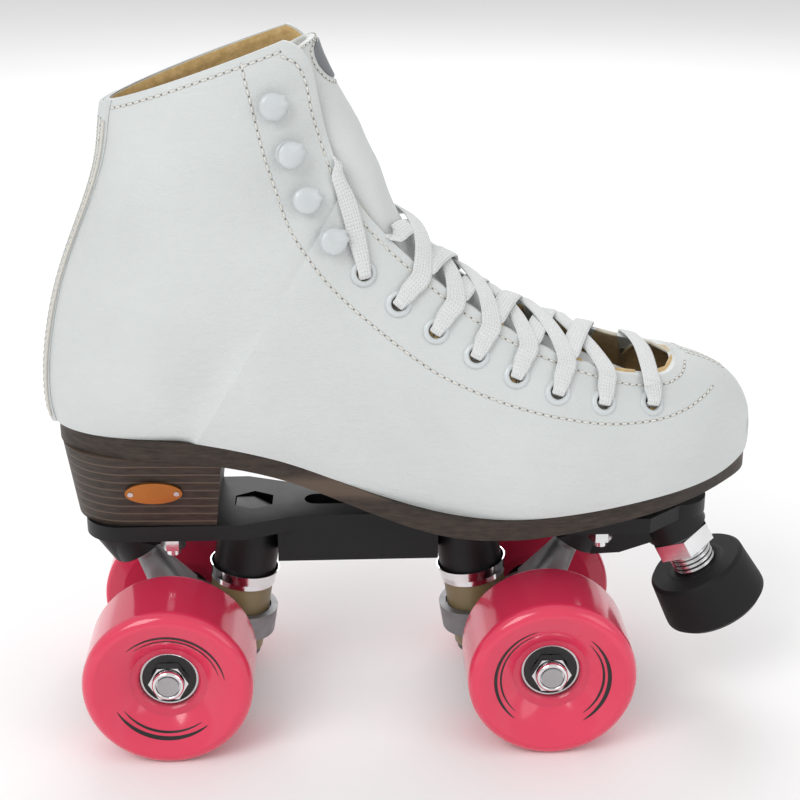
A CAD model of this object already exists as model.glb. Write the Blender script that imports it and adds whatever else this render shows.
import bpy
from math import asin, cos, exp, pi, radians, sin, sqrt
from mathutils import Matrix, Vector
from mathutils.bvhtree import BVHTree


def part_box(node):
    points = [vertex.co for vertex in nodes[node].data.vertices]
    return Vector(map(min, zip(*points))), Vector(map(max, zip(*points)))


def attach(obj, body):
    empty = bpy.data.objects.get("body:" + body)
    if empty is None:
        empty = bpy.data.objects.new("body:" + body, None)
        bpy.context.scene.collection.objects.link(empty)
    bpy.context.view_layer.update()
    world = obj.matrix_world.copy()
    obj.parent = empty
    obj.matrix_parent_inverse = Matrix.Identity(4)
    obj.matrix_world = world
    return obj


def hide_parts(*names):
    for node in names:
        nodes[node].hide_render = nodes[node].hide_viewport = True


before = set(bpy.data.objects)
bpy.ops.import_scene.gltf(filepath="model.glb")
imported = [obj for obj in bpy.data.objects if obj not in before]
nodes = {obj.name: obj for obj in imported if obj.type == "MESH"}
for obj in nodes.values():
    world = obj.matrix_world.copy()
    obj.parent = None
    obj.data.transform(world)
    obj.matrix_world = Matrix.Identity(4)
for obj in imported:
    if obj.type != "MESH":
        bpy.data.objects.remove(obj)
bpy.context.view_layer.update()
MM = 0.001
X_AXIS = Vector((1, 0, 0))
SIDES = {"lateral": -1, "medial": 1}
WHEELS = [(end, side) for end in ("rear", "front") for side in SIDES]


def around(count):
    """Cosine and sine of even steps round a circle."""
    for k in range(count):
        angle = 2 * pi * k / count
        yield cos(angle), sin(angle)


# ------------------------------------------------------------------ materials
class Maker:
    """A small builder for one procedural material."""

    def __init__(self, name):
        self.mat = bpy.data.materials.new(name)
        self.mat.use_nodes = True
        self.tree = self.mat.node_tree
        self.shader = self.tree.nodes["Principled BSDF"]
        self.coords = self.tree.nodes.new("ShaderNodeTexCoord")
        self.height = None

    def node(self, kind, **props):
        made = self.tree.nodes.new("ShaderNode" + kind)
        for key, value in props.items():
            setattr(made, key, value)
        return made

    def link(self, a, b):
        self.tree.links.new(a, b)

    def place(self, stretch=(1, 1, 1), rotate=(0, 0, 0), uv=False):
        mapping = self.node("Mapping")
        mapping.inputs["Scale"].default_value = stretch
        mapping.inputs["Rotation"].default_value = [radians(a) for a in rotate]
        self.link(self.coords.outputs["UV" if uv else "Object"], mapping.inputs["Vector"])
        return mapping.outputs[0]

    def noise(self, scale, detail=3.0, rough=0.55, distort=0.0, **where):
        tex = self.node("TexNoise")
        tex.inputs["Scale"].default_value = scale
        tex.inputs["Detail"].default_value = detail
        tex.inputs["Roughness"].default_value = rough
        tex.inputs["Distortion"].default_value = distort
        self.link(self.place(**where), tex.inputs["Vector"])
        return tex.outputs[0]

    def cells(self, scale, **where):
        tex = self.node("TexVoronoi", feature="DISTANCE_TO_EDGE")
        tex.inputs["Scale"].default_value = scale
        self.link(self.place(**where), tex.inputs["Vector"])
        return tex.outputs["Distance"]

    def waves(self, axis, period_mm, distort=0.0, uv=False, profile="SIN"):
        """Bands across one axis, this many millimetres apart."""
        tex = self.node("TexWave", bands_direction=axis, wave_profile=profile)
        unit = 1.0 if uv else 1000.0
        tex.inputs["Scale"].default_value = 2 * pi / 20 * unit / period_mm
        tex.inputs["Distortion"].default_value = distort
        tex.inputs["Detail"].default_value = 1.5
        tex.inputs["Detail Scale"].default_value = 1.5
        self.link(self.place(uv=uv), tex.inputs["Vector"])
        return tex.outputs["Fac"]

    def ramp(self, source, low, high, at=(0.3, 0.7)):
        ramp = self.node("ValToRGB")
        for stop, place, color in zip(ramp.color_ramp.elements, at, (low, high)):
            stop.position = place
            stop.color = (*color, 1)
        self.link(source, ramp.inputs[0])
        return ramp.outputs[0]

    def mix(self, fac, a, b):
        mix = self.node("Mix", data_type="RGBA")
        for value, socket in ((fac, mix.inputs[0]), (a, mix.inputs[6]), (b, mix.inputs[7])):
            if hasattr(value, "links"):
                self.link(value, socket)
            else:
                socket.default_value = value
        return mix.outputs[2]

    def color(self, source):
        self.link(source, self.shader.inputs["Base Color"])

    def spread(self, source, low, high):
        """Roughness that follows a texture."""
        remap = self.node("MapRange")
        remap.inputs["To Min"].default_value = low
        remap.inputs["To Max"].default_value = high
        self.link(source, remap.inputs["Value"])
        self.link(remap.outputs[0], self.shader.inputs["Roughness"])

    def bump(self, source, depth_mm, strength=1.0):
        node = self.node("Bump")
        node.inputs["Strength"].default_value = strength
        node.inputs["Distance"].default_value = depth_mm * MM
        self.link(source, node.inputs["Height"])
        if self.height is not None:
            self.link(self.height, node.inputs["Normal"])
        self.height = node.outputs[0]
        self.link(self.height, self.shader.inputs["Normal"])

    def set(self, **values):
        for key, value in values.items():
            self.shader.inputs[key.replace("_", " ")].default_value = value
        return self


def shade(color, factor):
    return tuple(min(1.0, c * factor) for c in color)


def leather(name, color, rough=0.42, creases=0.3, grain=0.14, spec=0.4):
    m = Maker(name).set(Specular_IOR_Level=spec)
    patches = m.noise(22, 4)
    m.color(m.ramp(patches, shade(color, 0.95), shade(color, 1.03)))
    m.spread(m.noise(90, 4), rough - 0.06, rough + 0.1)
    m.bump(m.noise(95, 5, 0.6, 0.8, stretch=(1, 1, 3.2)), creases)
    m.bump(m.cells(900), grain)
    return m.mat


def plastic(name, color, rough, fine=900, depth=0.02, spec=0.5, coat=0.0):
    m = Maker(name).set(Specular_IOR_Level=spec, Coat_Weight=coat, Coat_Roughness=0.08)
    m.color(m.ramp(m.noise(35, 3), shade(color, 0.9), shade(color, 1.1)))
    m.spread(m.noise(140, 3), rough - 0.05, rough + 0.07)
    m.bump(m.noise(fine, 3), depth)
    return m.mat


def metal(name, color, rough, scratch=(1, 1, 1), depth=0.01):
    m = Maker(name).set(Metallic=1.0)
    m.color(m.ramp(m.noise(60, 4), shade(color, 0.88), shade(color, 1.06)))
    m.spread(m.noise(300, 4, stretch=scratch), rough - 0.05, rough + 0.08)
    m.bump(m.noise(1400, 2, stretch=scratch), depth)
    return m.mat


WHITE = (0.60, 0.625, 0.62)
white_leather = leather("white_leather", WHITE)
tongue_leather = leather("tongue_leather", (0.63, 0.65, 0.64), rough=0.5, creases=0.14)
grey_patch = leather("grey_patch", (0.17, 0.18, 0.19), rough=0.4, creases=0.05)
edge_leather = leather("edge_leather", (0.62, 0.60, 0.55), rough=0.75, creases=0.2)


def suede():
    m = Maker("tan_suede").set(Specular_IOR_Level=0.15, Sheen_Weight=0.35, Sheen_Roughness=0.5)
    fibre = m.noise(420, 5, 0.7)
    m.color(m.ramp(fibre, (0.42, 0.27, 0.10), (0.66, 0.47, 0.22), (0.25, 0.75)))
    m.set(Roughness=0.9)
    m.bump(fibre, 0.35)
    return m.mat


def stacked(name, period_mm, axis="Z"):
    """Layers of dark leather with a lighter line at each join."""
    m = Maker(name).set(Specular_IOR_Level=0.35)
    lines = m.waves(axis, period_mm, 0.25)
    grain = m.noise(160, 5, 0.65, stretch=(1, 1, 5))
    body = m.ramp(grain, (0.018, 0.012, 0.009), (0.052, 0.036, 0.027))
    joins = m.ramp(lines, (0, 0, 0), (1, 1, 1), (0.86, 0.98))
    m.color(m.mix(joins, body, (0.10, 0.070, 0.052, 1)))
    m.spread(m.noise(220, 4), 0.42, 0.62)
    m.bump(joins, 0.12)
    m.bump(m.noise(500, 4, stretch=(1, 1, 4)), 0.08)
    return m.mat


def urethane(name, color, rough=0.12):
    m = Maker(name).set(Specular_IOR_Level=0.5, Coat_Weight=0.35, Coat_Roughness=0.06)
    m.shader.inputs["Subsurface Weight"].default_value = 0.12
    m.shader.inputs["Subsurface Radius"].default_value = (1.0, 0.25, 0.25)
    m.shader.inputs["Subsurface Scale"].default_value = 0.004
    m.color(m.ramp(m.noise(26, 3), shade(color, 0.96), shade(color, 1.03)))
    m.spread(m.noise(80, 4), rough, rough + 0.1)
    m.bump(m.noise(260, 2), 0.012)
    return m.mat


def braid():
    """Knitted flat lace: small chevrons from the ribbon's own UV, in millimetres."""
    m = Maker("white_braid").set(Specular_IOR_Level=0.2, Sheen_Weight=0.25, Roughness=0.85)
    along = m.waves("X", 1.25, 0.4, uv=True)
    across = m.waves("Y", 1.05, 0.2, uv=True)
    knit = m.node("Math", operation="MULTIPLY")
    m.link(along, knit.inputs[0])
    m.link(across, knit.inputs[1])
    m.color(m.ramp(knit.outputs[0], (0.68, 0.69, 0.69), (0.80, 0.81, 0.81), (0.0, 0.5)))
    m.bump(knit.outputs[0], 0.35)
    return m.mat


def cast_alloy():
    m = Maker("cast_alloy").set(Metallic=0.75)
    m.color(m.ramp(m.noise(70, 5), (0.16, 0.16, 0.165), (0.30, 0.30, 0.31)))
    m.spread(m.noise(300, 4), 0.42, 0.6)
    m.bump(m.noise(1100, 4), 0.05)
    return m.mat


def cotton():
    m = Maker("thread_cotton").set(Roughness=0.7, Sheen_Weight=0.2)
    m.color(m.ramp(m.noise(1500, 2), (0.64, 0.62, 0.56), (0.80, 0.79, 0.74)))
    m.bump(m.waves("DIAGONAL", 0.5), 0.05)
    return m.mat


PINK = (0.72, 0.038, 0.098)
pink = urethane("pink_urethane", PINK)
pink_core = urethane("pink_core", shade(PINK, 0.9), 0.25)
black_nylon = plastic("black_nylon", (0.006, 0.006, 0.007), 0.42, 700, 0.05, spec=0.3)
black_shield = plastic("black_shield", (0.010, 0.010, 0.010), 0.35)
black_print = plastic("black_print", (0.008, 0.008, 0.008), 0.3)
black_rubber = plastic("black_rubber", (0.009, 0.009, 0.010), 0.6, 1500, 0.06, spec=0.25)
white_enamel = plastic("white_enamel", (0.58, 0.61, 0.62), 0.26, 200, 0.004, coat=0.15)
amber = plastic("amber_urethane", (0.20, 0.155, 0.075), 0.38, 500, 0.02)
fibre_board = plastic("fibre_board", (0.30, 0.22, 0.14), 0.8, 600, 0.1)
chrome = metal("bright_chrome", (0.82, 0.82, 0.83), 0.10, depth=0.002)
zinc = metal("zinc_steel", (0.62, 0.62, 0.63), 0.24)
turned = metal("turned_steel", (0.45, 0.45, 0.46), 0.32, (1, 12, 1), 0.02)
copper = metal("copper_plate", (0.50, 0.20, 0.055), 0.42, (1, 1, 1), 0.02)
alloy = cast_alloy()
black_oxide = metal("black_oxide", (0.05, 0.05, 0.052), 0.4)
raw_edge = leather("raw_edge", (0.66, 0.62, 0.52), rough=0.85, creases=0.3)
tan_suede = suede()
heel_stack = stacked("stacked_heel", 3.45)
sole_stack = stacked("sole_leather", 40.0)
white_braid = braid()
thread_cotton = cotton()
stitch_groove = plastic("stitch_groove", (0.49, 0.50, 0.49), 0.8)
hole_shadow = plastic("needle_hole", (0.20, 0.18, 0.16), 0.9)

LOOKS = {
    "upper_": white_leather, "backstay": white_leather, "insole_board": fibre_board, "footbed": tan_suede,
    "outsole": sole_stack, "heel_stack": heel_stack, "heel_badge": copper, "badge_pins": zinc,
    "plate": black_nylon, "mount_": chrome, "pivot_cups": black_nylon, "kingpins": black_oxide,
    "kingpin_nuts": zinc, "cup_washers": chrome, "cushion_retainers": black_shield,
    "cushions_": amber, "toe_stop_rubber": black_rubber, "toe_stop_stem": zinc,
    "toe_stop_lock_nut": chrome, "hanger_": alloy, "axle_nuts_": chrome, "axle_": turned,
    "inner_races_": turned, "tyre_": pink, "hub_": pink_core, "bearing_shells_": black_shield,
    "bearing_balls_": turned,
}
# the longest matching start of a name decides; a node that another piece replaces stays white
LONGEST_FIRST = sorted(LOOKS, key=len, reverse=True)
for name, obj in nodes.items():
    look = next((LOOKS[start] for start in LONGEST_FIRST if name.startswith(start)), white_leather)
    obj.data.materials.clear()
    obj.data.materials.append(look)


# ------------------------------------------------------------------ geometry helpers
def tree_of(*names):
    """Ray-casting tree over CAD nodes."""
    verts, polys = [], []
    for name in names:
        mesh = nodes[name].data
        base = len(verts)
        verts += [v.co.copy() for v in mesh.vertices]
        polys += [[base + i for i in p.vertices] for p in mesh.polygons]
    return BVHTree.FromPolygons(verts, polys)


skin_tree = {side: tree_of(f"upper_{side}") for side in SIDES}
stay_tree = tree_of("backstay")
boot_walls = tree_of("upper_lateral", "upper_medial")
BESIDE, ABOVE, BEHIND = 0.09, 0.2, -0.2  # where rays towards the boot start, in metres
NEAR_MIDDLE = 0.004  # hits nearer the middle plane than this are left out


def skin(x, z, side):
    """Point and outward normal on the boot's outer face, from side-view millimetres."""
    sign = SIDES[side]
    start = Vector((x * MM, sign * BESIDE, z * MM))
    hit, normal, _, _ = skin_tree[side].ray_cast(start, Vector((0, -sign, 0)))
    if hit is None or hit.y * sign < NEAR_MIDDLE:
        return None
    return hit, normal if normal.y * sign > 0 else -normal


def piece(name, verts, faces, mats, body="frame", face_mats=None, uvs=None):
    """A mesh object riding on a body. verts are in metres."""
    mesh = bpy.data.meshes.new(name)
    mesh.from_pydata([tuple(v) for v in verts], [], faces)
    for m in mats:
        mesh.materials.append(m)
    if uvs is not None:
        layer = mesh.uv_layers.new(name="UVMap")
        for loop in mesh.loops:
            layer.data[loop.index].uv = uvs[loop.vertex_index]
    for poly in mesh.polygons:
        poly.use_smooth = True
        if face_mats is not None:
            poly.material_index = face_mats[poly.index]
    mesh.update()
    obj = bpy.data.objects.new(name, mesh)
    bpy.context.scene.collection.objects.link(obj)
    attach(obj, body)
    return obj


CURVE_STEPS = 24


def curve_through(points, step):
    """Points at even steps along a smooth curve through the given ones (Catmull-Rom)."""
    pts = [Vector(p) for p in points]
    pts = [2 * pts[0] - pts[1]] + pts + [2 * pts[-1] - pts[-2]]
    dense = []
    for a, b, c, d in zip(pts, pts[1:], pts[2:], pts[3:]):
        for k in range(CURVE_STEPS):
            t = k / CURVE_STEPS
            dense.append(0.5 * ((2 * b) + (c - a) * t + (2 * a - 5 * b + 4 * c - d) * t * t
                                + (3 * b - a - 3 * c + d) * t ** 3))
    dense.append(pts[-2])
    out, left = [dense[0]], step
    for a, b in zip(dense, dense[1:]):
        span = (b - a).length
        at = 0.0
        while span - at >= left:
            at += left
            out.append(a + (b - a) * (at / span))
            left = step
        left -= span - at
    return out


def basis(along, normal):
    """Unit vectors along, across and out of a surface."""
    along = along.normalized()
    across = normal.cross(along).normalized()
    return along, across, along.cross(across).normalized()


# ------------------------------------------------------------------ stitches
THREAD_SIDES, THREAD_STEPS = 6, 5
THREAD_FLATTEN, THREAD_LIFT, THREAD_DIP = 0.85, 0.14, 0.26
GROOVE_SIDES, GROOVE_AHEAD, GROOVE_ASIDE, GROOVE_LIFT = 10, 0.35, 0.28, 0.015
HOLE_SIDES, HOLE_AHEAD, HOLE_ASIDE, HOLE_LIFT = 6, 0.34, 0.42, 0.04
THREAD_SLOT, HOLE_SLOT, GROOVE_SLOT = 0, 1, 2


def stitch_spots(row, pitch):
    """Places one pitch apart along a row, each with its normal and its direction."""
    gone, spots = 0.0, []
    for (a, normal), (b, _) in zip(row, row[1:]):
        span = (b - a).length / MM
        while gone + span >= pitch * len(spots):
            t = (pitch * len(spots) - gone) / max(span, 1e-9)
            spots.append((a + (b - a) * t, normal, b - a))
        gone += span
    return spots


def stitches(name, rows, pitch=2.85, length=2.15, radius=0.36):
    """Raised thread dashes in a groove, with a needle hole between them, along rows of (point, normal)."""
    verts, faces, slots = [], [], []
    for at, normal, along in (spot for row in rows for spot in stitch_spots(row, pitch)):
        u, v, w = basis(along, normal)
        base = len(verts)
        for i in range(THREAD_STEPS + 1):
            s = -1 + 2 * i / THREAD_STEPS
            fat = sqrt(max(0.0, 1 - s ** 4)) * 0.9 + 0.1
            for c, d in around(THREAD_SIDES):
                rise = d * radius * THREAD_FLATTEN * fat + THREAD_LIFT - THREAD_DIP * s * s
                verts.append(at + (u * (s * length / 2) + v * (c * radius * fat) + w * rise) * MM)
        for i in range(THREAD_STEPS):
            for k in range(THREAD_SIDES):
                a = base + THREAD_SIDES * i + k
                b = base + THREAD_SIDES * i + (k + 1) % THREAD_SIDES
                faces.append((a, b, b + THREAD_SIDES, a + THREAD_SIDES))
                slots.append(THREAD_SLOT)
        groove = len(verts)
        for c, d in around(GROOVE_SIDES):
            ahead, aside = length / 2 + GROOVE_AHEAD, radius + GROOVE_ASIDE
            verts.append(at + (u * c * ahead + v * d * aside + w * GROOVE_LIFT) * MM)
        faces.append(tuple(range(groove, groove + GROOVE_SIDES)))
        slots.append(GROOVE_SLOT)
        hole = len(verts)
        for c, d in around(HOLE_SIDES):
            verts.append(at + (u * (pitch / 2 + c * HOLE_AHEAD) + v * d * HOLE_ASIDE + w * HOLE_LIFT) * MM)
        faces.append(tuple(range(hole, hole + HOLE_SIDES)))
        slots.append(HOLE_SLOT)
    return piece(name, verts, faces, [thread_cotton, hole_shadow, stitch_groove], face_mats=slots)


def skin_row(points, side):
    """A row of (point, normal) on one side of the boot, through side-view points."""
    row = []
    for p in curve_through([(x, 0, z) for x, z in points], 0.5):
        hit = skin(p.x, p.z, side)
        if hit:
            row.append(hit)
    return row


# Rows of stitches, as side-view points (x, z) in millimetres. Nine points of FACING are as a scratch
# program printed them, and eight keep its x; report.md says how they were made.
FACING = [
    (-58.3, 250.0), (-57.4, 245.2), (-55.9, 238.8), (-52.3, 222.7), (-48.3, 209), (-43.6, 195.3),
    (-33.7, 179.6), (-23.5, 168), (-9.7, 155.7), (4.2, 145.4), (16.4, 139.2), (28.6, 134.4), (39.1, 131.2),
    (49.7, 128.6), (66, 125.7), (82.7, 124.8), (94.5, 126.0), (103.2, 128.3), (108, 130.0),
]
EDGE_ROW = [
    (-44.5, 252.5), (-40.5, 250), (-37.6, 244), (-35.0, 231), (-29, 212), (-22.6, 200.5), (-8.4, 184.0),
    (15.3, 164.2), (38.7, 150.3), (67.3, 138.9), (85, 134.9), (95.0, 135.4), (100.0, 138.5),
]
COLLAR_ROW = [(-105.0, 233.6), (-90, 238.8), (-70, 245.9), (-46, 254.2)]
rows = []
for side in SIDES:
    for points in (FACING, EDGE_ROW, COLLAR_ROW):
        rows.append(skin_row(points, side))
stitches("upper_stitches", rows)


BACK_STEP = 0.6


def back_row(y, low, high):
    """A row of (point, normal) up the backstay at one y, found by looking forward from behind."""
    row = []
    z = low
    while z < high:
        hit, normal, _, _ = stay_tree.ray_cast(Vector((BEHIND, y * MM, z * MM)), X_AXIS)
        if hit:
            row.append((hit, normal if normal.x < 0 else -normal))
        z += BACK_STEP
    return row


stitches("backstay_stitches", [back_row(y, 124, 231) for y in (-7.0, -4.4, 4.4, 7.0)], pitch=2.6)


TOE_INSIDE_Z = 0.110  # a hit lower than this is inside the boot


def top_row(points):
    """Stitches on the toe, found by looking straight down."""
    row = []
    for p in curve_through([(x, y, 0) for x, y in points], 0.4):
        for side in SIDES:
            start = Vector((p.x * MM, p.y * MM, ABOVE))
            hit, normal, _, _ = skin_tree[side].ray_cast(start, Vector((0, 0, -1)))
            if hit and hit.z > TOE_INSIDE_Z:
                row.append((hit, normal if normal.z > 0 else -normal))
                break
    return row


def seam_y(x):
    """The toe seam's y: straight to x = 60, then 9 mm over in the next 75."""
    return 9.0 * max(0.0, x - 60.0) / 75.0


toe_rows = [top_row([(x, seam_y(x) + dy) for x in (101, 106, 111, 115)]) for dy in (-1.6, 1.6)]
stitches("toe_stitches", toe_rows, pitch=2.2, length=1.5)


# the toe's front end, closed with a slightly domed piece of the same leather
TOE_X, TOE_Y, TOE_Z = 125.8, 8.25, 107
TOE_DOME, TOE_HALF_WIDTH, TOE_HALF_HEIGHT = 1.75, 6.9, 10.0
TOE_RINGS, TOE_SIDES = 7, 32
verts, faces = [], []
for k in range(TOE_RINGS):
    r = k / (TOE_RINGS - 1)
    for c, d in around(TOE_SIDES):
        dome = TOE_X + TOE_DOME * (1 - r * r)
        verts.append(Vector((dome, TOE_Y + TOE_HALF_WIDTH * r * c, TOE_Z + TOE_HALF_HEIGHT * r * d)) * MM)
for k in range(TOE_RINGS - 1):
    for j in range(TOE_SIDES):
        a, b = TOE_SIDES * k + j, TOE_SIDES * k + (j + 1) % TOE_SIDES
        faces.append((a, a + TOE_SIDES, b + TOE_SIDES, b))
piece("toe_end", verts, faces, [white_leather])


# ------------------------------------------------------------------ lining
FAN_X, FAN_Z = 18, 280.0  # the line about which the boot's section planes turn
COLLAR_TILT = 70.1
SHAFT_ROWS, SHAFT_HALF, FOOT_ROWS = 36, 18, 24


def fan_point(tilt, x, depth, y):
    """A point in one of the boot's section planes, from its depth below the fan line."""
    a = radians(tilt)
    return Vector(((x + sin(a) * depth) * MM, y * MM, (FAN_Z - cos(a) * depth) * MM))


def lining_rows():
    """Places down the boot to look outward from: a centre and the direction towards the heel or sole."""
    for k in range(SHAFT_ROWS):
        tilt = -COLLAR_TILT + COLLAR_TILT * k / (SHAFT_ROWS - 1)
        middle = 92 + 40 * min(1.0, k / SHAFT_HALF) + 12 * max(0.0, (k - SHAFT_HALF) / 17)
        center = fan_point(tilt, FAN_X, middle, 0)
        yield center, fan_point(tilt, FAN_X, middle + 10, 0) - center
    for k in range(1, FOOT_ROWS + 1):
        yield fan_point(0, FAN_X + 4 * k, 146 + 0.8 * k, 0), Vector((0, 0, -1))


LINING_GAP, LINING_THICK = 0.0003, 0.0013
LINING_COLUMNS = 44
LINING_MARGIN = 0.004  # share of a row's sweep kept clear of the wall's edges
LIMIT_STEPS, HALVINGS = 60, 10


def lining_sheet(sign):
    """One side of the lining: rows of points on the upper's inner face, set slightly inward."""

    def look(center, down, angle):
        """The lining's point in one direction, or None where the boot is open."""
        way = down * cos(angle) + Vector((0, sign, 0)) * sin(angle)
        hit, _, _, _ = boot_walls.ray_cast(center, way)
        return hit - way * LINING_GAP if hit else None

    def limit(center, down, inside, outside):
        """The last angle that still meets the wall."""
        steps = [inside + (outside - inside) * k / LIMIT_STEPS for k in range(LIMIT_STEPS + 1)]
        good = inside
        for angle in steps:
            if look(center, down, angle) is None:
                bad = angle
                for _ in range(HALVINGS):
                    half = (good + bad) / 2
                    good, bad = (half, bad) if look(center, down, half) else (good, half)
                return good
            good = angle
        return outside

    verts, faces, columns, rows = [], [], LINING_COLUMNS, 0
    for center, down in lining_rows():
        down = down.normalized()
        if look(center, down, pi / 2) is None:
            continue
        low, high = limit(center, down, pi / 2, 0.0), limit(center, down, pi / 2, pi)
        for k in range(columns):
            share = LINING_MARGIN + (1 - 2 * LINING_MARGIN) * k / (columns - 1)
            angle = low + (high - low) * share
            verts.append(look(center, down, angle) or verts[-1])
        rows += 1
    for i in range(rows - 1):
        for k in range(columns - 1):
            a = i * columns + k
            faces.append((a, a + 1, a + columns + 1, a + columns))
    return verts, faces


for side, sign in SIDES.items():
    sheet_verts, sheet_faces = lining_sheet(sign)
    layer = piece(f"lining_{side}", sheet_verts, sheet_faces, [tan_suede, raw_edge])
    solid = layer.modifiers.new("thick", "SOLIDIFY")
    solid.thickness = LINING_THICK * sign
    solid.offset = 1.0
    solid.material_offset_rim = 1


# ------------------------------------------------------------------ tongue
# tilt, x, ridge depth, depth of the throat's edge, half width inside the walls
TONGUE = [
    (-66, 18, 57.0, 60.5, 12.5), (-63, 18, 57.6, 61.5, 12.5), (-55.5, 18, 58.8, 63.6, 13),
    (-46.9, 18, 60.4, 69, 13.5), (-40, 18, 62.6, 74.5, 14), (-34.8, 18, 65.2, 79, 14.5),
    (-24.1, 18, 74.6, 88.5, 15), (-14, 18, 92.5, 100, 16), (-6, 18, 104.0, 108.5, 17),
    (0, 20, 115.0, 119, 18), (0, 38, 129.5, 132.5, 20), (0, 58, 140.5, 142, 21),
    (0, 76, 148.0, 149, 18), (0, 88, 152.0, 153, 13),
]
ROUND_SHARE, WING_SHARE = 0.78, 0.22  # of the half width: the round back, then the wing
EDGE_DIP, WING_DEPTH = 5.0, 7.0
TONGUE_THICK = 0.0035


def tongue_profile(row, f):
    """A point across the tongue, f from -1 to 1: a round back, then wings down inside the walls."""
    tilt, x, ridge, edge, half = row
    turn = min(abs(f) / ROUND_SHARE, 1.0) * pi / 2
    y = half * sin(turn) * (1 if f > 0 else -1)
    wing = max(0.0, abs(f) - ROUND_SHARE) / WING_SHARE * WING_DEPTH
    depth = ridge + (edge + EDGE_DIP - ridge) * (1 - cos(turn)) + wing
    return fan_point(tilt, x, depth, y)


def lerp_row(t):
    """The tongue's row at a position between two rows of the list."""
    i = min(int(t), len(TONGUE) - 2)
    f = t - i
    a, b = TONGUE[i], TONGUE[i + 1]
    return tuple(p + (q - p) * f for p, q in zip(a, b))


tongue_rows = [lerp_row(k / 3) for k in range(3 * (len(TONGUE) - 1) + 1)]
across = [k / 14 - 1 for k in range(29)]
verts = [tongue_profile(r, f) for r in tongue_rows for f in across]
width = len(across)
faces = [
    (i * width + j, i * width + j + 1, (i + 1) * width + j + 1, (i + 1) * width + j)
    for i in range(len(tongue_rows) - 1) for j in range(width - 1)
]
tongue = piece("tongue_padded", verts, faces, [tongue_leather])
middle = tongue.data.polygons[len(tongue.data.polygons) // 2]
if middle.normal.x + middle.normal.z < 0:
    tongue.data.flip_normals()
solid = tongue.modifiers.new("thick", "SOLIDIFY")
solid.thickness = TONGUE_THICK
solid.offset = -1.0
sub = tongue.modifiers.new("smooth", "SUBSURF")
sub.levels = sub.render_levels = 1
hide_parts("tongue")


def on_tongue(t, y):
    """Point and outward normal on the tongue at row position t and offset y millimetres."""
    row = lerp_row(t)
    f = ROUND_SHARE * asin(max(-0.98, min(0.98, y / row[4]))) / (pi / 2)
    here = tongue_profile(row, f)
    below, above = lerp_row(min(t + 0.05, len(TONGUE) - 1.001)), lerp_row(max(t - 0.05, 0))
    du = tongue_profile(below, f) - tongue_profile(above, f)
    dv = tongue_profile(row, f + 0.02) - tongue_profile(row, f - 0.02)
    normal = du.cross(dv).normalized()
    if normal.x + normal.z < 0:
        normal = -normal
    return here, normal


PATCH_ROW, PATCH_ROWS, PATCH_HALF_WIDTH, PATCH_SIDES = 1.5, 1.05, 8.0, 40
PATCH_RINGS = [(0.01, 0.75), (0.35, 0.75), (0.7, 0.75), (0.94, 0.7), (1.0, 0.45), (1.0, -0.1)]  # scale, lift


def patch_edge(scale, count=PATCH_SIDES):
    """An oval on the tongue round the patch's middle."""
    return [on_tongue(PATCH_ROW + PATCH_ROWS * scale * c, PATCH_HALF_WIDTH * scale * d)
            for c, d in around(count)]


verts, faces = [], []
for scale, lift in PATCH_RINGS:
    for here, normal in patch_edge(scale):
        verts.append(here + normal * lift * MM)
for i in range(len(PATCH_RINGS) - 1):
    for k in range(PATCH_SIDES):
        a, b = i * PATCH_SIDES + k, i * PATCH_SIDES + (k + 1) % PATCH_SIDES
        faces.append((a, b, b + PATCH_SIDES, a + PATCH_SIDES))
patch = piece("tongue_oval_patch", verts, faces, [grey_patch])
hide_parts("tongue_patch")
patch_row = patch_edge(1.2, 80)
patch_row.append(patch_row[0])
top_edge_row = [on_tongue(0.16, y) for y in range(-11, 12)]
stitches("tongue_stitches", [patch_row, top_edge_row], pitch=2.2, length=1.5, radius=0.25)


# ------------------------------------------------------------------ eyelets and hooks
# side-view places (x, z) in millimetres; THROAT_EDGE has the facing's edge beside each eyelet
EYELETS = [(-19, 179), (-7, 168), (6, 158.5), (20, 150), (34, 143), (48.5, 137), (65, 132.5), (83, 130)]
HOOKS = [(-49, 237), (-44, 221), (-38.5, 205), (-30, 191)]
THROAT_EDGE = [
    (-10.5, 188.5), (0.8, 176.6), (12.8, 167.6), (25.2, 159.2), (38.3, 151.8), (51.8, 146.0), (66.3, 141.0),
    (83.0, 136.8),
]


def hole_frame(x, z, side, ring=4.9):
    """Centre and mean normal of a spot on the skin that may have a hole in it."""
    hits = [skin(x + ring * c, z + ring * d, side) for c, d in around(8)]
    hits = [h for h in hits if h]
    center = sum((h[0] for h in hits), Vector()) / len(hits)
    normal = sum((h[1] for h in hits), Vector()).normalized()
    return center, normal


HOLE = {side: [hole_frame(x, z, side) for x, z in EYELETS] for side in SIDES}
HOOK = {side: [hole_frame(x, z, side) for x, z in HOOKS] for side in SIDES}


def lathe(verts, faces, center, normal, profile, count=28, shape=None):
    """Adds a turned form: profile rows are (radius, height) in millimetres."""
    u = (X_AXIS - normal * X_AXIS.dot(normal)).normalized()
    v = normal.cross(u)
    turned = v.z < 0
    v = -v if turned else v
    base = len(verts)
    for radius, height in profile:
        for k in range(count):
            angle = 2 * pi * k / count
            r = radius * (shape(angle, radius) if shape else 1.0)
            verts.append(center + (u * cos(angle) * r + v * sin(angle) * r + normal * height) * MM)
    for i in range(len(profile) - 1):
        for k in range(count):
            a, b = base + i * count + k, base + i * count + (k + 1) % count
            face = (a, b, b + count, a + count)
            faces.append(face[::-1] if turned else face)


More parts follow.
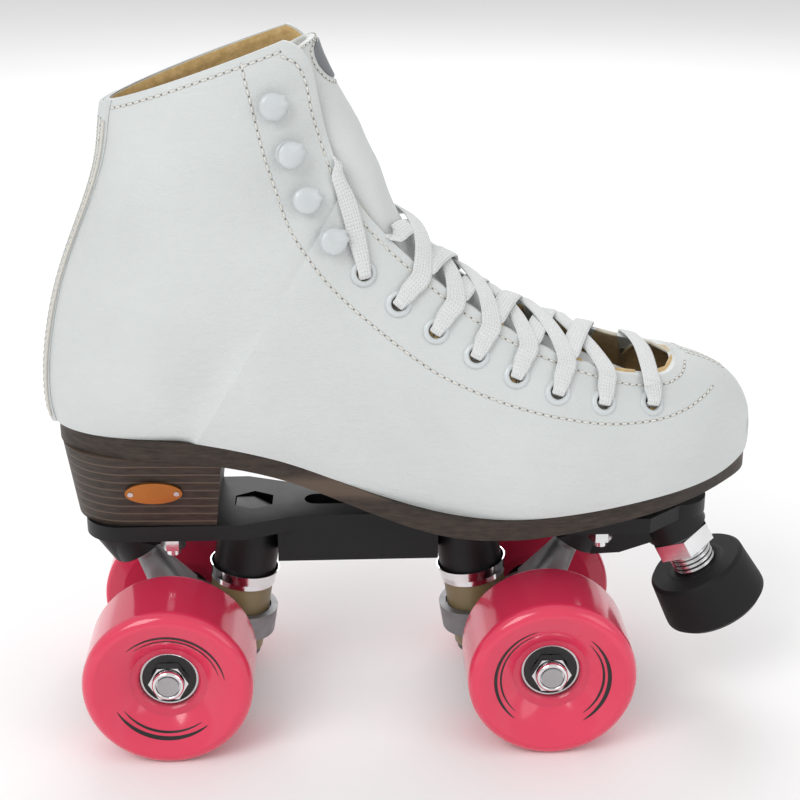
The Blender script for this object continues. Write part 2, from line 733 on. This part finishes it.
def lathed(name, spots, forms, mat):
    """One piece of turned forms at every spot. Each form is (profile, count, shape)."""
    verts, faces = [], []
    for side in SIDES:
        for center, normal in spots[side]:
            for profile, count, shape in forms:
                lathe(verts, faces, center, normal, profile, count, shape)
    return piece(name, verts, faces, [mat])


CLAW_TURN, TIP_APART, TIP_WIDTH, TIP_REACH = radians(25), 0.30, 0.15, 0.20
NECK_WIDTH, NECK_REACH, CLAW_R = 0.4, 0.08, 4.6


def claw(angle, radius):
    """Round head drawn out into two tips with a notch between them."""
    turn = (angle - CLAW_TURN + pi) % (2 * pi) - pi
    weight = min(1.0, radius / CLAW_R)
    tips = sum(exp(-((turn - side) / TIP_WIDTH) ** 2) for side in (TIP_APART, -TIP_APART))
    return 1.0 + weight * (TIP_REACH * tips + NECK_REACH * exp(-(turn / NECK_WIDTH) ** 2))


EYELET_PROFILE = [
    (2.55, -2.2), (2.55, 0.3), (2.75, 0.85), (3.2, 1.15), (3.8, 1.12), (4.4, 0.8), (4.72, 0.35), (4.75, 0.05),
]
DEPTH_PROFILE = [(2.6, -1.7), (0.05, -1.7)]
HOOK_FOOT = [(4.4, 0.0), (4.4, 0.45), (3.9, 0.75), (1.9, 0.95), (1.6, 1.6), (1.6, 3.4)]
HOOK_CAP = [
    (1.6, 3.3), (4.2, 3.3), (4.6, 3.55), (4.6, 3.95), (4.3, 4.3), (3.2, 4.75), (1.6, 5.0), (0.05, 5.05),
]
rings = lathed("eyelet_rings", HOLE, [(EYELET_PROFILE, 28, None)], white_enamel)
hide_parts("eyelets")
lathed("eyelet_depths", HOLE, [(DEPTH_PROFILE, 16, None)], hole_shadow)
claws = lathed("lace_hooks_formed", HOOK, [(HOOK_FOOT, 28, None), (HOOK_CAP, 56, claw)], white_enamel)
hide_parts("hooks")


# ------------------------------------------------------------------ lace
RIBBON_STEP, RIBBON_SIDES = 0.8, 12
FLAT_ACROSS, FLAT_OUT = 0.55, 0.8  # powers that flatten the round section


def ribbon(verts, faces, uvs, stations):
    """A flat braid through (point, normal, width, thickness) stations, all in millimetres but the point."""
    spots = curve_through([s[0] for s in stations], RIBBON_STEP * MM)
    knots = [0.0]
    for a, b in zip(stations, stations[1:]):
        knots.append(knots[-1] + (b[0] - a[0]).length)
    total = knots[-1]
    base, count, run = len(verts), RIBBON_SIDES, 0.0
    for i, here in enumerate(spots):
        t = i / (len(spots) - 1) * total
        j = max(n for n in range(len(knots) - 1) if knots[n] <= t + 1e-9)
        f = (t - knots[j]) / max(knots[j + 1] - knots[j], 1e-9)
        f = f * f * (3 - 2 * f)
        s0, s1 = stations[j], stations[j + 1]
        normal = (s0[1] * (1 - f) + s1[1] * f).normalized()
        wide = s0[2] * (1 - f) + s1[2] * f
        thick = s0[3] * (1 - f) + s1[3] * f
        ahead = spots[min(i + 1, len(spots) - 1)] - spots[max(i - 1, 0)]
        u, v, w = basis(ahead, normal)
        for c, d in around(count):
            px = (abs(c) ** FLAT_ACROSS) * (1 if c > 0 else -1) * wide / 2
            pz = (abs(d) ** FLAT_OUT) * (1 if d > 0 else -1) * thick / 2
            verts.append(here + (v * px + w * pz) * MM)
            uvs.append((run, px))
        run += RIBBON_STEP
    for i in range(len(spots) - 1):
        for k in range(count):
            a, b = base + i * count + k, base + i * count + (k + 1) % count
            faces.append((a, b, b + count, a + count))
    faces.append(tuple(range(base, base + count)))
    last = base + (len(spots) - 1) * count
    faces.append(tuple(range(last, last + count)))


def edge_spot(index, side, lift):
    """Point above the throat's edge beside an eyelet, and the boot's normal there."""
    hit = skin(*THROAT_EDGE[index], side)
    return hit[0] + hit[1] * lift * MM, hit[1]


WIDE, THICK = 7.2, 1.3
SQUEEZED = (3.4, 1.9)  # width and thickness inside an eyelet
EMERGED = (4.6, 1.9)  # and where it comes out
CROWN = (0, 7.2, 6.2, 5.2, 4.4, 3.8, 3.2)  # height of each crossing's middle over its chord
CROSS_SHAPE = ((0.22, 0.75), (0.5, 1.0), (0.76, 0.82), (0.92, 0.42))  # along the chord, share of the crown


def crossing(index, near, far, lift):
    """From an eyelet, over the near edge and the tongue, and under the far edge to the next eyelet."""
    center, normal = HOLE[near][index]
    edge, edge_normal = edge_spot(index, near, 1.5)
    mid = center.lerp(edge, 0.5) + normal * 1.3 * MM
    far_top, _ = edge_spot(index - 1, far, 1.2)
    rise = Vector((0.6 - 0.07 * index, 0, 0.85))
    crown = CROWN[index] + lift
    a, b, c, d = (edge.lerp(far_top, f) + rise * (h * crown) * MM for f, h in CROSS_SHAPE)
    far_edge, far_normal = edge_spot(index - 1, far, -4.6)
    out_center, out_normal = HOLE[far][index - 1]
    return [
        (center - normal * 2.0 * MM, normal, *SQUEEZED),
        (center + normal * 1.7 * MM, normal, *EMERGED),
        (mid, normal, WIDE * 0.93, THICK * 1.1),
        (edge, edge_normal, WIDE, THICK),
        (a, (rise + edge_normal * 0.4).normalized(), WIDE, THICK),
        (b, rise.normalized(), WIDE, THICK),
        (c, (rise - edge_normal * 0.2).normalized(), WIDE, THICK),
        (d, (rise - edge_normal * 0.4).normalized(), WIDE, THICK),
        (far_edge - Vector((0, SIDES[far] * 2.0 * MM, 0)), far_normal, WIDE, THICK),
        (out_center - out_normal * 5.0 * MM, out_normal, 5.0, THICK),
    ]


def tucked_end(side):
    """From the top eyelet up the outside of the facing, over its edge and into the boot."""
    center, normal = HOLE[side][0]
    sign = SIDES[side]
    p1, n1 = skin(-22.0, 193.0, side)
    p2, n2 = skin(-24.6, 203.0, side)
    p3, n3 = skin(-27.6, 211.5, side)

    def inside(offset, facing, width, thick):
        return p3 + Vector(offset) * MM, Vector(facing).normalized(), WIDE * width, thick

    return [
        (center - normal * 2 * MM, normal, *SQUEEZED),
        (center + normal * 1.7 * MM, normal, *EMERGED),
        (p1 + n1 * 1.4 * MM, n1, WIDE * 0.95, THICK),
        (p2 + n2 * 1.2 * MM, n2, WIDE * 0.95, THICK),
        (p3 + n3 * 1.2 * MM, n3, WIDE * 0.7, THICK * 1.2),
        inside((0.5, -sign * 1.2, 4.6), n3 + Vector((0.5, 0, 0.3)), 0.45, THICK * 1.3),
        inside((-1.5, -sign * 3.6, 5.0), (0.9, 0, 0.4), 0.45, THICK * 1.3),
        inside((-6.0, -sign * 4.2, 0.0), (0.6, sign * 0.6, 0.4), 0.5, THICK),
        inside((-13.0, -sign * 3.0, -8.0), (0.4, sign * 0.8, 0.3), 0.6, THICK),
    ]


def toe_bar():
    """The bar across the toe end, from the last eyelet of one side to the other's."""
    (left, left_normal), (right, right_normal) = HOLE["lateral"][7], HOLE["medial"][7]
    e0, m0 = edge_spot(7, "lateral", 1.6)
    e1, m1 = edge_spot(7, "medial", 1.6)
    return [
        (left - left_normal * 2 * MM, left_normal, *SQUEEZED),
        (left + left_normal * 1.8 * MM, left_normal, 4.8, 1.9),
        (left.lerp(e0, 0.55) + left_normal * 1.2 * MM, left_normal, WIDE, THICK),
        (e0, m0, WIDE, THICK),
        ((e0 + e1) / 2 + Vector((0.8, 0, 2.6)) * MM, Vector((0.3, 0, 0.95)), WIDE, THICK),
        (e1, m1, WIDE, THICK),
        (right.lerp(e1, 0.55) + right_normal * 1.2 * MM, right_normal, WIDE, THICK),
        (right + right_normal * 1.8 * MM, right_normal, 4.8, 1.9),
        (right - right_normal * 2 * MM, right_normal, *SQUEEZED),
    ]


verts, faces, uvs = [], [], []
OTHER = {"lateral": "medial", "medial": "lateral"}
for start, lift in (("lateral", 0.0), ("medial", 1.5)):
    side = start
    for index in range(6, 0, -1):
        ribbon(verts, faces, uvs, crossing(index, side, OTHER[side], lift))
        side = OTHER[side]
    ribbon(verts, faces, uvs, tucked_end(side))
ribbon(verts, faces, uvs, toe_bar())
braid_piece = piece("flat_lace", verts, faces, [white_braid], uvs=uvs)
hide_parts("lace")

# the backstay's cut edges
verts, faces, uvs = [], [], []
for y in (-8.9, 8.9):
    edge_line = back_row(y, 122, 232)[::6]
    ribbon(verts, faces, uvs, [(at + normal * 0.1 * MM, normal, 1.3, 0.9) for at, normal in edge_line])
piece("backstay_edges", verts, faces, [edge_leather])


# ------------------------------------------------------------------ printed arcs on the wheels
FACE_TURN = {"rear": -98.0, "front": 0.0}
ARC_STEPS, ARC_LIFT = 48, 0.06
ARCS = [  # radius, width, start and stop angle
    (20.9, 1.25, 106, 230), (18.9, 0.75, 110, 226), (20.9, 1.35, -56, 50), (18.9, 0.8, -52, 46),
]
for end, side in WHEELS:
    name = f"tyre_{end}_{side}"
    low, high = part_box(name)
    center = (Vector(low) + Vector(high)) / 2
    sign = SIDES[side]
    tree = tree_of(name)
    verts, faces = [], []
    for radius, width_mm, start, stop in ARCS:
        base, count = len(verts), ARC_STEPS
        for k in range(count + 1):
            f = k / count
            angle = radians(start + (stop - start) * f + FACE_TURN[end])
            half = width_mm / 2 * sin(pi * f) ** 0.6 + 0.02
            for r in (radius - half, radius + half):
                at = Vector((center.x + cos(angle) * r * MM, sign * 0.2, center.z + sin(angle) * r * MM))
                hit, _, _, _ = tree.ray_cast(at, Vector((0, -sign, 0)))
                verts.append(hit + Vector((0, sign, 0)) * ARC_LIFT * MM)
        for k in range(count):
            a = base + 2 * k
            faces.append((a, a + 1, a + 3, a + 2))
    piece(f"print_{end}_{side}", verts, faces, [black_print], f"wheel_{end}_{side}")


# ------------------------------------------------------------------ hardware details
def turned_piece(name, center, axis, profile, mat, body, count=40):
    """A piece turned about an axis, riding on a body."""
    verts, faces = [], []
    lathe(verts, faces, center, axis, profile, count)
    return piece(name, verts, faces, [mat], body)


HUB_FACE = 0.0425
RACE_PROFILE = [(9.9, 0.02), (10.0, 0.10), (10.9, 0.10), (11.0, 0.0)]
COLLAR_PROFILE = [(5.9, -0.05), (5.8, 0.5), (5.3, 1.1), (4.8, 1.25), (4.4, 1.05), (4.3, -0.2)]
for end, side in WHEELS:
    low, high = (Vector(v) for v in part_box(f"tyre_{end}_{side}"))
    axis = Vector((0, SIDES[side], 0))
    hub = Vector(((low.x + high.x) / 2, SIDES[side] * HUB_FACE, (low.z + high.z) / 2))
    turned_piece(f"race_ring_{end}_{side}", hub, axis, RACE_PROFILE, zinc, f"wheel_{end}_{side}")
    nut_low, nut_high = (Vector(v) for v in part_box(f"axle_nuts_{end}"))
    tip = nut_high.y if SIDES[side] > 0 else -nut_low.y
    face = Vector((hub.x, SIDES[side] * tip, hub.z))
    turned_piece(f"nut_collar_{end}_{side}", face, axis, COLLAR_PROFILE, chrome, f"truck_{end}")

# the toe stop's screw thread and the recess round it, along its leaning stem
STOP_LEAN = radians(28.2)
STOP_BASE = Vector((0.1092, 0, 0.0523))
SCREW_R, SCREW_DEPTH, SCREW_PITCH, SCREW_STEP = 8.02, 0.42, 1.95, 0.15
SHANK_R = 0.0081
lean = Vector((-sin(STOP_LEAN), 0, cos(STOP_LEAN)))
screw_profile = [
    (SCREW_R + SCREW_DEPTH * (0.5 - 0.5 * cos(2 * pi * h / SCREW_PITCH)) ** 0.7, h)
    for h in [SCREW_STEP * k for k in range(3, 62)]
]
recess_profile = [(7.95, -0.3), (8.2, 0.05), (11.4, 0.12), (12.0, -0.1)]
turned_piece("stop_thread", STOP_BASE, lean, screw_profile, zinc, "toe_stop", 48)
turned_piece("stop_recess", STOP_BASE, lean, recess_profile, black_rubber, "toe_stop", 48)
# the stem's moulded-in disc, which lies outside its shank, is black
stem = nodes["toe_stop_stem"].data
stem.materials.append(black_rubber)
for poly in stem.polygons:
    offset = poly.center - STOP_BASE
    if (offset - lean * offset.dot(lean)).length > SHANK_R:
        poly.material_index = 1


# ------------------------------------------------------------------ stage
floor_mesh = bpy.data.meshes.new("floor")
HALF = 6
floor_corners = [(-HALF, -HALF, 0), (HALF, -HALF, 0), (HALF, HALF, 0), (-HALF, HALF, 0)]
floor_mesh.from_pydata(floor_corners, [], [(0, 1, 2, 3)])
floor = bpy.data.objects.new("floor", floor_mesh)
bpy.context.scene.collection.objects.link(floor)
pale = Maker("pale_floor").set(Roughness=0.9, Specular_IOR_Level=0.05)
pale.color(pale.ramp(pale.noise(3), (0.92, 0.92, 0.92), (0.94, 0.94, 0.94)))
floor_mesh.materials.append(pale.mat)

world = bpy.data.worlds.new("studio")
bpy.context.scene.world = world
world.use_nodes = True
background = world.node_tree.nodes["Background"].inputs
background["Color"].default_value = (1, 1, 1, 1)
background["Strength"].default_value = 0.72


def area(name, place, target, size, power):
    """A rectangular lamp aimed at a point."""
    data = bpy.data.lights.new(name, "AREA")
    data.shape = "RECTANGLE"
    data.size, data.size_y = size
    data.energy = power
    lamp = bpy.data.objects.new(name, data)
    lamp.location = place
    lamp.rotation_euler = (Vector(target) - Vector(place)).to_track_quat("-Z", "Y").to_euler()
    bpy.context.scene.collection.objects.link(lamp)


area("key", (-0.9, -1.1, 1.3), (0, 0, 0.12), (0.9, 0.9), 12)
area("fill", (1.1, -0.9, 0.7), (0, 0, 0.1), (0.8, 0.8), 2.5)
area("back", (0.1, 1.2, 1.0), (0, 0, 0.15), (1.0, 0.6), 8)

camera_data = bpy.data.cameras.new("camera")
camera = bpy.data.objects.new("camera", camera_data)
bpy.context.scene.collection.objects.link(camera)
camera_data.sensor_width = 36.0
camera_data.lens = 73.8
camera_data.clip_start = 0.01
camera.location = (-0.02724, -0.56580, 0.34665)
YAW, PITCH, ROLL = 0.0391, 0.3774, 0.0024
camera.rotation_euler = (pi / 2 - PITCH, ROLL, -YAW)
bpy.context.scene.camera = camera
bpy.context.scene.view_settings.view_transform = "Standard"
